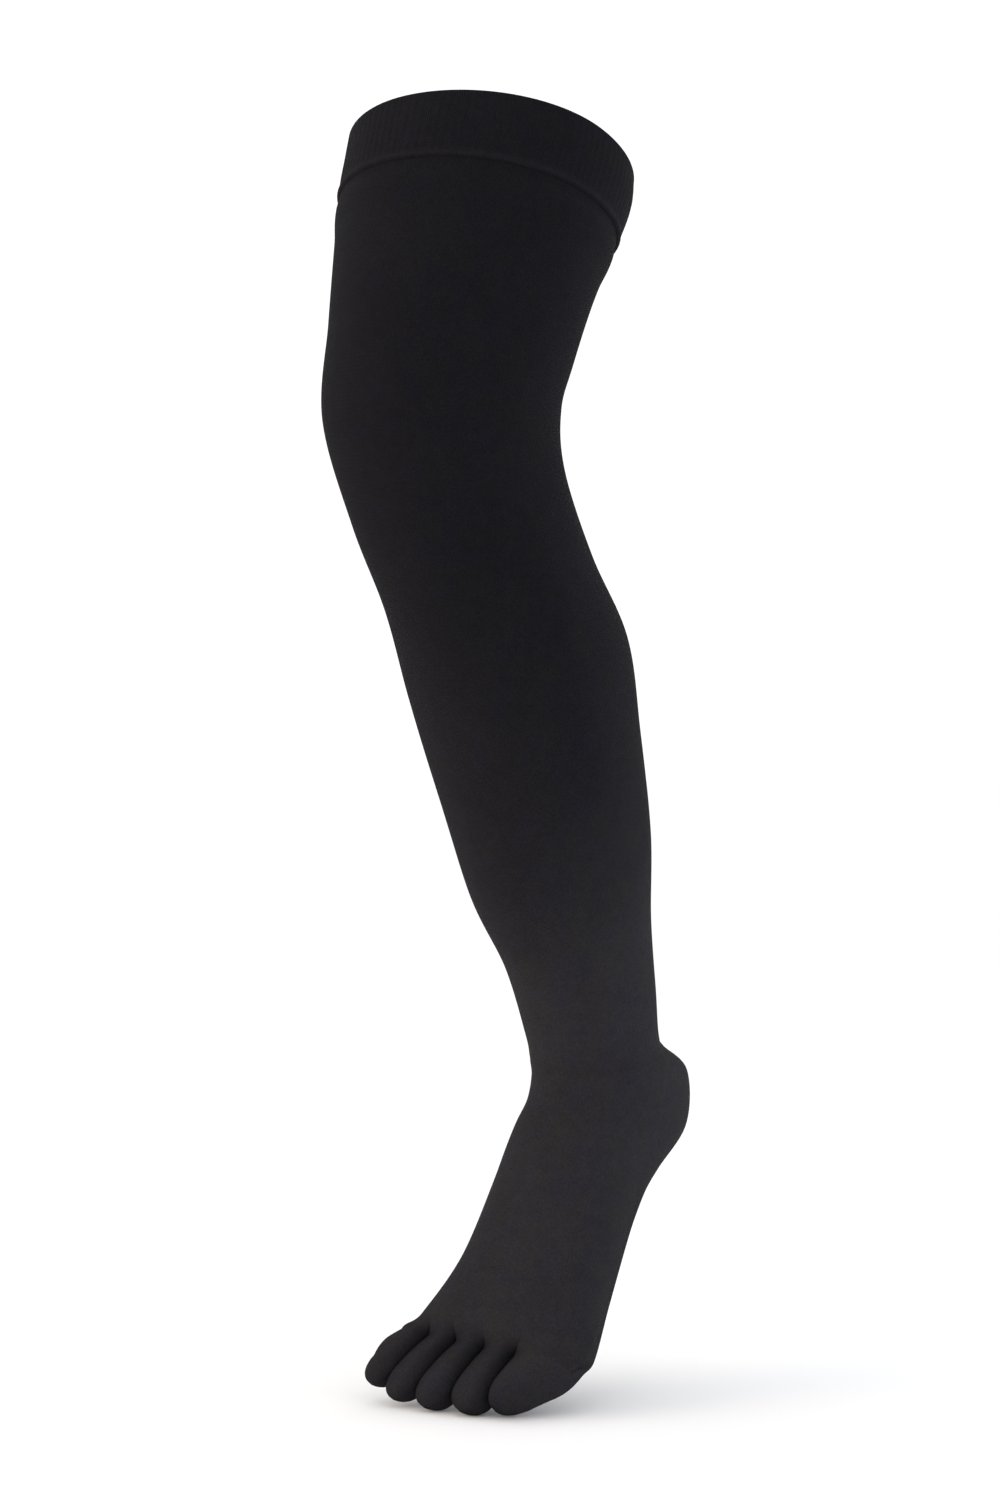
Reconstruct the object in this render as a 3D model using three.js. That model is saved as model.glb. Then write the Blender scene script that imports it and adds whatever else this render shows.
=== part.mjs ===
// An over-the-knee toe sock for the right foot, in the form it keeps on a slightly bent leg.
// Millimetres and degrees. +Z is up, -Y is the front of the leg, +X is the big-toe side.
// The origin is the centre of the leg opening.
import * as THREE from 'three';

// The knit
const KNIT = 1.2;
const CUFF_KNIT = 2.0;
const SEAM_GAP = 0.3;
const TOE_GAP = 0.3;

// Lengths of the leg and the foot
const CUFF_HEIGHT = 34.8;
const THIGH_LENGTH = 144.2;
const SHIN_LENGTH = 342.9;
const CREASE_REACH = 91.7;
const FOOT_RUN = 114.9;

// Breadths that the sections follow
const OPENING_BREADTH = 150;
const KNEE_BREADTH = 122;
const CALF_BREADTH = 116;
const ANKLE_BREADTH = 66;
const FOOT_BREADTH = 94;

// Directions: how far each stretch leans from straight down, and how the foot turns
const THIGH_LEAN = 14;
const SHIN_LEAN = 21.5;
const FOOT_PITCH = 34.5;
const FOOT_YAW = 2;
const FOOT_ROLL = 9;

// How much higher the opening's front and its big-toe side stand
const OPENING_PITCH = 3.6;
const OPENING_ROLL = 4;

// The toes
const TOE_LENGTH = 38.5;
const TOE_CROWN = 14;
const TOE_PAD = 13;
const WEB_HEIGHT = 9;
const GROOVE_RUN = 14;
const TOE_LINE_SLANT = 3;
const TOE_LIFT = 20;
const TOE_CURL = 4;
const LIFT_RUN = 16;
const TIP_SHARE = 0.4;
const TIP_ROUND = 2.4;
const BIG_TOE_TAPER = 0.95;
const BALL_ROUND = 8;
const TOE_BULGE = 2.6;

// The cuff
const RIB_PITCH = 5;
const RIB_RELIEF = 0.5;
const WELT_RELIEF = 0.8;
const WELT_HEIGHT = 5;
const SEAM_PINCH = 1.0;
const PINCH_RUN = 12;

// How finely the walls are divided
const CROWN_STEPS = 5;
const PAD_STEPS = 3;
const LEG_COLUMNS = 36;
const PINCH_ROWS = 3;
const LEG_ROWS = 23;
const HEEL_ROWS = 8;
const SOLE_ROWS = 4;
const GROOVE_ROWS = 4;
const TOE_ROWS = 4;
const TIP_ROWS = 4;

// How near the toe line's ends the foot's columns start and stop, as a share of half its breadth
const EDGE_SHARE = 0.985;

// Sections from the leg opening to the toe line. `along` is a share of the stretch's length and
// `turn` the share of the bend to the next stretch that the section has made. The other lengths
// are shares of the breadth named in `of`: to the front, the back, the big-toe side and the
// little-toe side of the bone line, and back to the widest line. `round` is 2 for an ellipse.
const SECTIONS = [
  { on: 'thigh', along: 0.000, turn: 0, of: OPENING_BREADTH,
    front: 0.462, back: 0.564, medial: 0.516, lateral: 0.501, widest: 0, round: 2.0 },
  { on: 'thigh', along: 0.085, turn: 0, of: OPENING_BREADTH,
    front: 0.463, back: 0.572, medial: 0.517, lateral: 0.502, widest: 0, round: 2.0 },
  { on: 'thigh', along: 0.220, turn: 0, of: OPENING_BREADTH,
    front: 0.465, back: 0.540, medial: 0.500, lateral: 0.500, widest: 0, round: 2.0 },
  { on: 'thigh', along: 0.480, turn: 0, of: OPENING_BREADTH,
    front: 0.460, back: 0.460, medial: 0.465, lateral: 0.465, widest: 0, round: 2.0 },
  { on: 'thigh', along: 0.740, turn: 0, of: OPENING_BREADTH,
    front: 0.450, back: 0.420, medial: 0.430, lateral: 0.430, widest: 0, round: 2.0 },
  { on: 'thigh', along: 1.000, turn: 0.5, of: KNEE_BREADTH,
    front: 0.510, back: 0.530, medial: 0.490, lateral: 0.490, widest: 0, round: 2.1 },
  { on: 'shin', along: 0.127, turn: 0, of: KNEE_BREADTH,
    front: 0.500, back: 0.440, medial: 0.460, lateral: 0.460, widest: 0, round: 2.1 },
  { on: 'shin', along: 0.276, turn: 0, of: CALF_BREADTH,
    front: 0.450, back: 0.560, medial: 0.480, lateral: 0.480, widest: 0, round: 2.0 },
  { on: 'shin', along: 0.425, turn: 0, of: CALF_BREADTH,
    front: 0.415, back: 0.690, medial: 0.500, lateral: 0.500, widest: 0, round: 2.0 },
  { on: 'shin', along: 0.573, turn: 0, of: CALF_BREADTH,
    front: 0.420, back: 0.640, medial: 0.465, lateral: 0.465, widest: 0, round: 2.0 },
  { on: 'shin', along: 0.743, turn: 0, of: ANKLE_BREADTH,
    front: 0.820, back: 1.000, medial: 0.680, lateral: 0.680, widest: 0.10, round: 2.0 },
  { on: 'shin', along: 0.880, turn: 0, of: ANKLE_BREADTH,
    front: 0.660, back: 0.800, medial: 0.560, lateral: 0.560, widest: 0.05, round: 2.0 },
  { on: 'crease', along: 0, turn: 0, of: ANKLE_BREADTH,
    front: -0.757, back: 2.015, medial: 0.524, lateral: 0.519, widest: 1.388, round: 2.0 },
  { on: 'crease', along: 0, turn: 0.2, of: ANKLE_BREADTH,
    front: -0.775, back: 1.945, medial: 0.562, lateral: 0.478, widest: 1.400, round: 2.0 },
  { on: 'crease', along: 0, turn: 0.27, of: ANKLE_BREADTH,
    front: -0.782, back: 2.045, medial: 0.566, lateral: 0.474, widest: 1.440, round: 2.0 },
  { on: 'crease', along: 0, turn: 0.4, of: ANKLE_BREADTH,
    front: -0.795, back: 2.505, medial: 0.573, lateral: 0.467, widest: 1.620, round: 2.1 },
  { on: 'crease', along: 0, turn: 0.6, of: ANKLE_BREADTH,
    front: -0.820, back: 2.630, medial: 0.578, lateral: 0.475, widest: 1.730, round: 2.2 },
  { on: 'crease', along: 0, turn: 0.8, of: ANKLE_BREADTH,
    front: -0.842, back: 2.330, medial: 0.585, lateral: 0.480, widest: 1.600, round: 2.3 },
  { on: 'foot', along: 0.02, turn: 1, of: FOOT_BREADTH,
    front: 0.373, back: 0.441, medial: 0.475, lateral: 0.321, widest: 0.156, round: 2.3 },
  { on: 'foot', along: 0.21, turn: 1, of: FOOT_BREADTH,
    front: 0.341, back: 0.379, medial: 0.493, lateral: 0.337, widest: 0.154, round: 2.3 },
  { on: 'foot', along: 0.57, turn: 1, of: FOOT_BREADTH,
    front: 0.262, back: 0.344, medial: 0.551, lateral: 0.390, widest: 0.109, round: 2.3 },
  { on: 'foot', along: 0.88, turn: 1, of: FOOT_BREADTH,
    front: 0.182, back: 0.262, medial: 0.622, lateral: 0.522, widest: 0.048, round: 2.3 },
  { on: 'foot', along: 1.00, turn: 1, of: FOOT_BREADTH,
    front: 0.145, back: 0.170, medial: 0.595, lateral: 0.574, widest: 0.020, round: 2.3 },
];
const LAST_SECTION = SECTIONS.length - 1;
const ANKLE_SECTION = SECTIONS.findIndex((section) => section.on === 'crease');
const SOLE_SECTION = SECTIONS.findIndex((section) => section.on === 'foot');

// Toe pockets from the big toe to the little toe: `breadth` is a share of the forefoot at the toe
// line, `reach`, `crown` and `pad` are shares of TOE_LENGTH, TOE_CROWN and TOE_PAD, and `splay` is
// how far the little-toe side of the pocket moves sideways for each millimetre forwards.
const TOES = [
  { breadth: 0.333, reach: 0.80, crown: 1.00, pad: 1.00, splay: 0.14 },
  { breadth: 0.177, reach: 0.94, crown: 0.79, pad: 0.73, splay: 0.22 },
  { breadth: 0.165, reach: 1.01, crown: 0.75, pad: 0.73, splay: 0.32 },
  { breadth: 0.162, reach: 1.01, crown: 0.72, pad: 0.70, splay: 0.36 },
  { breadth: 0.163, reach: 0.88, crown: 0.68, pad: 0.70, splay: 0.34 },
];

const OPENING = SECTIONS[0];
const FRONT_TO_BACK = OPENING.front + OPENING.back;
const SIDE_TO_SIDE = OPENING.medial + OPENING.lateral;
const UNIT_STEP = 1e-3;
const toRadians = THREE.MathUtils.degToRad;
const smooth = (share) => THREE.MathUtils.smoothstep(share, 0, 1);

// Axes of a section: side towards the big toe, back towards the calf or sole, down along the limb
function axes(pitch, yaw = 0, roll = 0) {
  const turn = new THREE.Matrix4().makeRotationX(toRadians(pitch));
  turn.multiply(new THREE.Matrix4().makeRotationY(toRadians(-yaw)));
  turn.multiply(new THREE.Matrix4().makeRotationZ(toRadians(roll)));
  const [side, back, up] = [0, 1, 2].map((column) => new THREE.Vector3().setFromMatrixColumn(turn, column));
  return { side, back, down: up.negate() };
}

const at = (origin, ...steps) => steps.reduce(
  (place, [axis, length]) => place.addScaledVector(axis, length), origin.clone());

const THIGH_AXES = axes(-THIGH_LEAN);
const SHIN_AXES = axes(SHIN_LEAN);
const KNEE = at(new THREE.Vector3(), [THIGH_AXES.down, THIGH_LENGTH]);
const CREASE = at(KNEE, [SHIN_AXES.down, SHIN_LENGTH], [SHIN_AXES.back, -CREASE_REACH]);

// Where a section's bone point lies and how the section is turned
function placeOf({ on, along, turn }) {
  if (on === 'thigh') {
    const tilt = 1 - smooth(along);
    const pitch = THREE.MathUtils.lerp(-THIGH_LEAN, SHIN_LEAN, turn) - tilt * OPENING_PITCH;
    return { bone: KNEE.clone().multiplyScalar(along), ...axes(pitch, tilt * OPENING_ROLL) };
  }
  if (on === 'shin') {
    return { bone: at(KNEE, [SHIN_AXES.down, along * SHIN_LENGTH]), ...SHIN_AXES };
  }
  const pitch = THREE.MathUtils.lerp(SHIN_LEAN, -FOOT_PITCH, turn);
  const turned = axes(pitch, turn * FOOT_YAW, turn * FOOT_ROLL);
  if (on === 'crease') {
    return { bone: CREASE, ...turned };
  }
  return { bone: at(CREASE, [turned.back, CREASE_REACH], [turned.down, along * FOOT_RUN]), ...turned };
}
const PLACES = SECTIONS.map(placeOf);
const FOOT_ALONG = SECTIONS.map((section) => (section.on === 'foot' ? section.along : 0));
const SLANT = Math.tan(toRadians(TOE_LINE_SLANT));

// A point of one section's outline; angle 90 degrees is the front, 0 the big-toe side
function outlinePoint(index, angle) {
  const section = SECTIONS[index];
  const { bone, side, back, down } = PLACES[index];
  const power = 2 / section.round;
  const cosine = Math.cos(angle);
  const sine = Math.sin(angle);
  const half = (cosine > 0 ? section.medial : section.lateral) * section.of;
  const depth = sine > 0 ? -(section.front + section.widest) : section.back - section.widest;
  const across = half * Math.sign(cosine) * Math.abs(cosine) ** power;
  const behind = (section.widest + depth * Math.abs(sine) ** power) * section.of;
  const slant = across * SLANT * smooth(FOOT_ALONG[index]);
  return at(bone, [side, across], [back, behind], [down, slant]);
}

// The line down the sock at one angle, through all sections
function lineDown(angle) {
  return new THREE.CatmullRomCurve3(SECTIONS.map((section, index) => outlinePoint(index, angle)),
    false, 'catmullrom');
}

// The path of the toes from the foot's own direction: an arc that lifts them across the toe line,
// then an arc that curls them down again
function toePath(ahead) {
  const straight = Math.min(ahead, -LIFT_RUN / 2);
  const rise = THREE.MathUtils.clamp(ahead + LIFT_RUN / 2, 0, LIFT_RUN);
  const rest = Math.max(ahead - LIFT_RUN / 2, 0);
  const liftRate = toRadians(TOE_LIFT) / LIFT_RUN;
  const curlRate = toRadians(TOE_LIFT + TOE_CURL) / (TOE_LENGTH - LIFT_RUN / 2);
  const lift = liftRate * rise;
  const angle = lift - curlRate * rest;
  const forward = straight + Math.sin(lift) / liftRate + (Math.sin(lift) - Math.sin(angle)) / curlRate;
  const up = (1 - Math.cos(lift)) / liftRate + (Math.cos(angle) - Math.cos(lift)) / curlRate;
  return { forward, up, angle };
}

// The place of the toe pockets: `ahead` beyond the toe line, `across` to the big-toe side,
// `below` towards the sole
const TOE_ROOT = PLACES[LAST_SECTION];
function toePlace(ahead, across, below) {
  const { bone, side, back, down } = TOE_ROOT;
  const { forward, up, angle } = toePath(ahead);
  return at(bone, [side, across], [down, across * SLANT + forward + below * Math.sin(angle)],
    [back, below * Math.cos(angle) - up]);
}

// Borders between the pockets at the toe line, from the big-toe side to the little-toe side
const FOREFOOT = SECTIONS[LAST_SECTION];
const FOREFOOT_BREADTH = (FOREFOOT.medial + FOREFOOT.lateral) * FOREFOOT.of;
const BORDERS = [FOREFOOT.medial * FOREFOOT.of];
TOES.forEach((toe) => BORDERS.push(BORDERS.at(-1) - toe.breadth * FOREFOOT_BREADTH));

// One pocket's outline: arches over the crown and under the pad between two upright webs
function pocketArch(toe, from, to, steps, isCrown) {
  const height = isCrown ? toe.crown * TOE_CROWN : toe.pad * TOE_PAD;
  const web = WEB_HEIGHT / 2;
  return Array.from({ length: steps }, (unused, step) => {
    const angle = (Math.PI * step) / steps;
    const across = (from + to) / 2 + ((from - to) / 2) * Math.cos(angle);
    const arch = web + (height - web) * Math.sin(angle);
    return { across, below: isCrown ? -arch : arch };
  });
}

// The toe line's outline, once round: crowns to the little toe, its side, pads back to the big toe
const LITTLE_TOE_CORNER = TOES.length * CROWN_STEPS;
const TOE_LINE = [
  ...TOES.flatMap((toe, index) => pocketArch(toe, BORDERS[index], BORDERS[index + 1], CROWN_STEPS, true)),
  { across: BORDERS.at(-1), below: -WEB_HEIGHT / 2 },
  ...TOES.flatMap((toe, index) => pocketArch(toe, BORDERS[index], BORDERS[index + 1], PAD_STEPS, false)
    .concat({ across: BORDERS[index + 1], below: WEB_HEIGHT / 2 }).slice(1)).reverse(),
  { across: BORDERS[0], below: WEB_HEIGHT / 2 },
];
const FOOT_COLUMNS = TOE_LINE.length;

// Where a column of the foot's wall lies round a section: evenly spaced at the ankle, and in line
// with the toe pockets at the toe line
function columnAngle(column, along) {
  const { across } = TOE_LINE[column];
  const edge = across > 0 ? BORDERS[0] : -BORDERS.at(-1);
  const inLine = Math.acos((EDGE_SHARE * across) / edge);
  const level = Math.PI / 2 + ((column - LITTLE_TOE_CORNER / 2) / FOOT_COLUMNS) * 2 * Math.PI;
  const toeAngle = column <= LITTLE_TOE_CORNER ? inLine : 2 * Math.PI - inLine;
  return THREE.MathUtils.lerp(level, toeAngle, smooth(along));
}

// How far the big toe's free side has come in: an arc round the ball of the foot, then straight
function freeSide(ahead) {
  const rise = THREE.MathUtils.clamp(ahead + BALL_ROUND, 0, 2 * BALL_ROUND);
  return BIG_TOE_TAPER * (rise ** 2 / (4 * BALL_ROUND) + Math.max(ahead - BALL_ROUND, 0));
}

// A point of the foot's wall: the limb's surface, taken over by the toe pockets' grooves
function footPoint(position, column) {
  const before = Math.floor(Math.min(position, LAST_SECTION - 1));
  const along = THREE.MathUtils.lerp(FOOT_ALONG[before], FOOT_ALONG[before + 1], position - before);
  const ahead = (along - 1) * FOOT_RUN;
  const skin = lineDown(columnAngle(column, along)).getPoint(position / LAST_SECTION);
  const { across, below } = TOE_LINE[column];
  const share = Math.max(across - BORDERS[1], 0) / (BORDERS[0] - BORDERS[1]);
  const groove = toePlace(ahead, across - share * freeSide(ahead), below);
  return skin.lerp(groove, smooth(1 + ahead / GROOVE_RUN));
}

// Steps over a grid of points whose columns close on themselves
const stepDown = (grid, row, column) => {
  const next = grid[Math.min(row + 1, grid.length - 1)][column];
  return next.clone().sub(grid[Math.max(row - 1, 0)][column]);
};
const stepRound = (grid, row, column) => {
  const columns = grid[row].length;
  return grid[row][(column + 1) % columns].clone().sub(grid[row][(column + columns - 1) % columns]);
};
const mapGrid = (grid, change) => grid.map(
  (points, row) => points.map((point, column) => change(point, row, column)));

// The middle of a ring of points, and the way the ring faces down the limb
const middleOf = (ring) => ring.reduce(
  (sum, point) => sum.add(point), new THREE.Vector3()).divideScalar(ring.length);
function ringAxis(grid, row) {
  const ring = grid[row];
  const middle = middleOf(ring);
  return ring.reduce((sum, point, column) => {
    const next = ring[(column + 1) % ring.length].clone().sub(middle);
    return sum.add(next.cross(point.clone().sub(middle)));
  }, new THREE.Vector3()).normalize();
}

// Moves each point out along the surface's own direction by the length that `height` gives; a
// piece's open ends stay in their own plane, and a closed tip moves straight ahead
function offsetGrid(grid, height) {
  const last = grid.length - 1;
  const isClosed = stepRound(grid, last, 0).length() < UNIT_STEP;
  const ends = { 0: ringAxis(grid, 0), [last]: isClosed ? null : ringAxis(grid, last) };
  const tip = grid[last][0].clone().sub(middleOf(grid[last - 1])).normalize();
  return mapGrid(grid, (point, row, column) => {
    const outward = stepRound(grid, row, column).cross(stepDown(grid, row, column));
    if (ends[row]) outward.projectOnPlane(ends[row]);
    if (isClosed && row === last) outward.copy(tip);
    return point.clone().addScaledVector(outward.normalize(), height(row, column));
  });
}

// Moves points along the wall, so that a piece ends short of the seam that it meets
function seamGrid(grid, walls, shift) {
  return mapGrid(grid, (point, row, column) => {
    const { down = 0, round = 0 } = shift(row, column);
    const place = point.clone();
    place.addScaledVector(stepDown(walls, row, column).normalize(), down * SEAM_GAP / 2);
    return place.addScaledVector(stepRound(walls, row, column).normalize(), round * SEAM_GAP / 2);
  });
}

// One closed body: an outer and an inner surface over the cells that `isKnit` names, joined by a
// strip along each open edge
function knitWall(outer, inner, isKnit = () => true) {
  const places = [];
  const known = new Map();
  const faces = [];
  const vertex = (point) => {
    const key = point.toArray().map((value) => Math.round(value / UNIT_STEP)).join();
    if (!known.has(key)) {
      known.set(key, places.length / 3);
      places.push(...point.toArray());
    }
    return known.get(key);
  };
  const quad = (...corners) => {
    const [a, b, c, d] = corners.map(vertex);
    if (a !== b && b !== c && c !== a) faces.push(a, b, c);
    if (a !== c && c !== d && d !== a) faces.push(a, c, d);
  };
  const columns = outer[0].length;
  const wrap = (column) => (column + columns) % columns;
  const has = (row, column) => row >= 0 && row < outer.length - 1 && isKnit(row, wrap(column));
  const edge = (rowA, columnA, rowB, columnB) => quad(outer[rowB][wrap(columnB)],
    outer[rowA][wrap(columnA)], inner[rowA][wrap(columnA)], inner[rowB][wrap(columnB)]);
  for (let row = 0; row < outer.length - 1; row += 1) {
    for (let column = 0; column < columns; column += 1) {
      if (!has(row, column)) continue;
      const right = wrap(column + 1);
      quad(outer[row][column], outer[row][right], outer[row + 1][right], outer[row + 1][column]);
      quad(inner[row][column], inner[row + 1][column], inner[row + 1][right], inner[row][right]);
      if (!has(row - 1, column)) edge(row, column, row, column + 1);
      if (!has(row, column + 1)) edge(row, column + 1, row + 1, column + 1);
      if (!has(row + 1, column)) edge(row + 1, column + 1, row + 1, column);
      if (!has(row, column - 1)) edge(row + 1, column, row, column);
    }
  }
  const geometry = new THREE.BufferGeometry();
  geometry.setAttribute('position', new THREE.Float32BufferAttribute(places, 3));
  geometry.setIndex(faces);
  geometry.computeVertexNormals();
  return geometry;
}

// Row positions from one to another, both included
const rowsBetween = (from, to, steps) => Array.from({ length: steps + 1 },
  (unused, step) => THREE.MathUtils.lerp(from, to, step / steps));

// The row position of a length down the thigh
function thighRow(length) {
  const share = length / THIGH_LENGTH;
  const before = SECTIONS.findLastIndex((section) => section.on === 'thigh' && section.along <= share);
  const span = SECTIONS[before + 1].along - SECTIONS[before].along;
  return before + (share - SECTIONS[before].along) / span;
}

// The limb's surface on evenly spaced columns
function limbGrid(rows, columns) {
  const lines = Array.from({ length: columns },
    (unused, column) => lineDown((2 * Math.PI * column) / columns));
  return rows.map((position) => lines.map((line) => line.getPoint(position / LAST_SECTION)));
}

// The cuff: a ribbed double-knit band that ends in a raised welt above its seam
function makeCuff() {
  const openingLength = Math.PI * OPENING_BREADTH * (FRONT_TO_BACK + SIDE_TO_SIDE) / 2;
  const ribs = Math.round(openingLength / RIB_PITCH);
  const depths = [0, CUFF_HEIGHT - WELT_HEIGHT, CUFF_HEIGHT - WELT_HEIGHT / 3, CUFF_HEIGHT];
  const welt = [0, 0, WELT_RELIEF, 0];
  const skin = limbGrid(depths.map(thighRow), 2 * ribs);
  const outer = offsetGrid(skin, (row, column) => welt[row] + (column % 2 ? -RIB_RELIEF : 0));
  const inner = offsetGrid(skin, () => -CUFF_KNIT);
  const shift = (row) => ({ down: row === depths.length - 1 ? -1 : 0 });
  return knitWall(seamGrid(outer, skin, shift), seamGrid(inner, skin, shift));
}

// The leg: from the cuff's seam, where it is drawn in, to the ankle
function makeLeg() {
  const pinched = rowsBetween(0, PINCH_RUN, PINCH_ROWS);
  const below = thighRow(CUFF_HEIGHT + PINCH_RUN);
  const rows = [...pinched.map((length) => thighRow(CUFF_HEIGHT + length)),
    ...rowsBetween(below, ANKLE_SECTION, LEG_ROWS).slice(1)];
  const skin = limbGrid(rows, LEG_COLUMNS);
  const pinch = (row) => -SEAM_PINCH * (1 - smooth((pinched[row] ?? PINCH_RUN) / PINCH_RUN));
  const outer = offsetGrid(skin, pinch);
  const inner = offsetGrid(skin, (row) => pinch(row) - KNIT);
  const shift = (row) => ({ down: (row === 0 ? 1 : 0) - (row === rows.length - 1 ? 1 : 0) });
  return knitWall(seamGrid(outer, skin, shift), seamGrid(inner, skin, shift));
}

// The foot's wall from the ankle to the toe line, with the heel pocket set into its back
const FOOT_GRID_ROWS = [
  ...rowsBetween(ANKLE_SECTION, SOLE_SECTION, HEEL_ROWS),
  ...rowsBetween(SOLE_SECTION, LAST_SECTION - 1, SOLE_ROWS).slice(1),
  ...rowsBetween(LAST_SECTION - 1, LAST_SECTION, GROOVE_ROWS).slice(1),
];
const FOOT_SKIN = FOOT_GRID_ROWS.map(
  (position) => TOE_LINE.map((unused, column) => footPoint(position, column)));
const FOOT_LINING = offsetGrid(FOOT_SKIN, () => -KNIT);
const isHeelCell = (row, column) => row < HEEL_ROWS && column >= LITTLE_TOE_CORNER;

// The heel: a cup between the ankle, the sole and the two sides of the instep
function makeHeel() {
  const shift = (row, column) => ({
    down: (row === 0 ? 1 : 0) - (row === HEEL_ROWS ? 1 : 0),
    round: (column === LITTLE_TOE_CORNER ? 1 : 0) - (column === 0 ? 1 : 0),
  });
  return knitWall(seamGrid(FOOT_SKIN, FOOT_SKIN, shift), seamGrid(FOOT_LINING, FOOT_SKIN, shift), isHeelCell);
}

// The foot: instep, sole and forefoot round the heel's opening
function makeFoot() {
  const isBesideHeel = (row, column) => row <= HEEL_ROWS && (column >= LITTLE_TOE_CORNER || column === 0);
  const shift = (row, column) => ({
    down: row === 0 || (row === HEEL_ROWS && isBesideHeel(row, column)) ? 1 : 0,
    round: isBesideHeel(row, column) ? (column === 0 ? 1 : 0) - (column === LITTLE_TOE_CORNER ? 1 : 0) : 0,
  });
  return knitWall(seamGrid(FOOT_SKIN, FOOT_SKIN, shift), seamGrid(FOOT_LINING, FOOT_SKIN, shift),
    (row, column) => !isHeelCell(row, column));
}

// A toe pocket: a tube from the toe line with a flat web towards each neighbour and a domed tip
function makeToe(index) {
  const toe = TOES[index];
  const length = toe.reach * TOE_LENGTH;
  const straight = length * (1 - TIP_SHARE);
  const rings = [
    ...rowsBetween(SEAM_GAP, straight, TOE_ROWS).map((ahead) => ({ ahead, size: 1 })),
    ...rowsBetween(0, Math.PI / 2, TIP_ROWS).slice(1).map((angle) => ({
      ahead: straight + (length - straight) * Math.sin(angle) ** (2 / TIP_ROUND),
      size: Math.max(Math.cos(angle), 0) ** (2 / TIP_ROUND),
    })),
  ];
  const skin = rings.map(({ ahead, size }) => {
    const bulge = TOE_BULGE * Math.sin(Math.PI * Math.min(ahead / straight, 1));
    const from = BORDERS[index]
      - (index === 0 ? freeSide(ahead) : TOES[index - 1].splay * ahead + TOE_GAP / 2);
    const to = BORDERS[index + 1] - toe.splay * ahead
      + (index === TOES.length - 1 ? -bulge : TOE_GAP / 2);
    const outline = [
      ...pocketArch(toe, from, to, CROWN_STEPS, true),
      { across: to, below: -WEB_HEIGHT / 2 },
      ...pocketArch(toe, to, from, PAD_STEPS, false),
      { across: from, below: WEB_HEIGHT / 2 },
    ];
    const middle = (from + to) / 2;
    return outline.map(
      ({ across, below }) => toePlace(ahead, middle + (across - middle) * size, below * size));
  });
  return knitWall(skin, offsetGrid(skin, () => -KNIT));
}

const knit = (colour, roughness) => new THREE.MeshStandardMaterial(
  { color: colour, roughness, metalness: 0 });
const PLAIN_KNIT = knit(0x2b292c, 0.95);
const RIB_KNIT = knit(0x1f1d21, 0.9);
const HEEL_KNIT = knit(0x323034, 0.95);

const sock = new THREE.Group();
function add(name, geometry, material) {
  const mesh = new THREE.Mesh(geometry, material);
  mesh.name = name;
  sock.add(mesh);
}
add('cuff', makeCuff(), RIB_KNIT);
add('leg', makeLeg(), PLAIN_KNIT);
add('heel', makeHeel(), HEEL_KNIT);
add('foot', makeFoot(), PLAIN_KNIT);
TOES.forEach((toe, index) => add(`toe_${index + 1}`, makeToe(index), PLAIN_KNIT));

export default sock;
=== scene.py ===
"""Dresses the toe sock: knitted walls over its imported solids, a pale floor, soft light and a camera.

Lengths of the sock are in millimetres until a mesh is made; everything else is in metres.
The leg opening's centre is the origin, +Z is up, -Y is the front and +X is the big-toe side.
"""
import logging
import math
from dataclasses import dataclass, field
from enum import Enum
from typing import Any

import bpy
import numpy as np
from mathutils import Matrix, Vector


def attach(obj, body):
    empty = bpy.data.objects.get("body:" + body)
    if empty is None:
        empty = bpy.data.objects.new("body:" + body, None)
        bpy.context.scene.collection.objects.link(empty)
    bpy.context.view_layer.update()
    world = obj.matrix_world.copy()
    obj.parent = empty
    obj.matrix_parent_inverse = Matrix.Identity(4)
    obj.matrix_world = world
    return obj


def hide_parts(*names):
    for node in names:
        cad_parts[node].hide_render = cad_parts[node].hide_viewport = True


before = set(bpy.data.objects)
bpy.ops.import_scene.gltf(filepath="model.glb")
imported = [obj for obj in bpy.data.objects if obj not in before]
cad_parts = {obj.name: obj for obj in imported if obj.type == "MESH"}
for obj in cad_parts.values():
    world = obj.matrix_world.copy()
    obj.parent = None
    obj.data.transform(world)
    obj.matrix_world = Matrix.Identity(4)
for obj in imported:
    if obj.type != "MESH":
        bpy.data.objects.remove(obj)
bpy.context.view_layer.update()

LOG = logging.getLogger("toe_sock")
BODY = "root"
MILLIMETRE = 0.001
FULL_TURN = 2 * math.pi
QUARTER_TURN = math.pi / 2
WALES = 200
COURSE = 1.35
KNIT = 1.2
CUFF_HEIGHT = 34.8
UV_NAME = "stitches"
TONE_NAME = "tone"

Array = np.ndarray


def smooth(share: Array | float) -> Array:
    """Runs from 0 to 1 with level ends: 3 s squared minus 2 s cubed, of s held between 0 and 1."""
    held = np.clip(share, 0.0, 1.0)
    return held * held * (3 - 2 * held)


def blend(start: Array | float, end: Array | float, share: Array | float) -> Array:
    """Goes straight from start to end: start + (end - start) * share."""
    return start + (end - start) * share


def unit(vectors: Array) -> Array:
    """Divides each vector along the last axis by its length."""
    return vectors / np.maximum(np.linalg.norm(vectors, axis=-1, keepdims=True), 1e-9)


def joined(parts: list[tuple[Array, Array]]) -> tuple[Array, Array]:
    """Joins the parts' places across, and their heights, into one array each."""
    across, heights = zip(*parts)
    return np.concatenate(across), np.concatenate(heights)


class Stretch(Enum):
    """The stretches of the sock that its sections follow."""

    THIGH = "thigh"
    SHIN = "shin"
    CREASE = "crease"
    FOOT = "foot"


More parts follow.
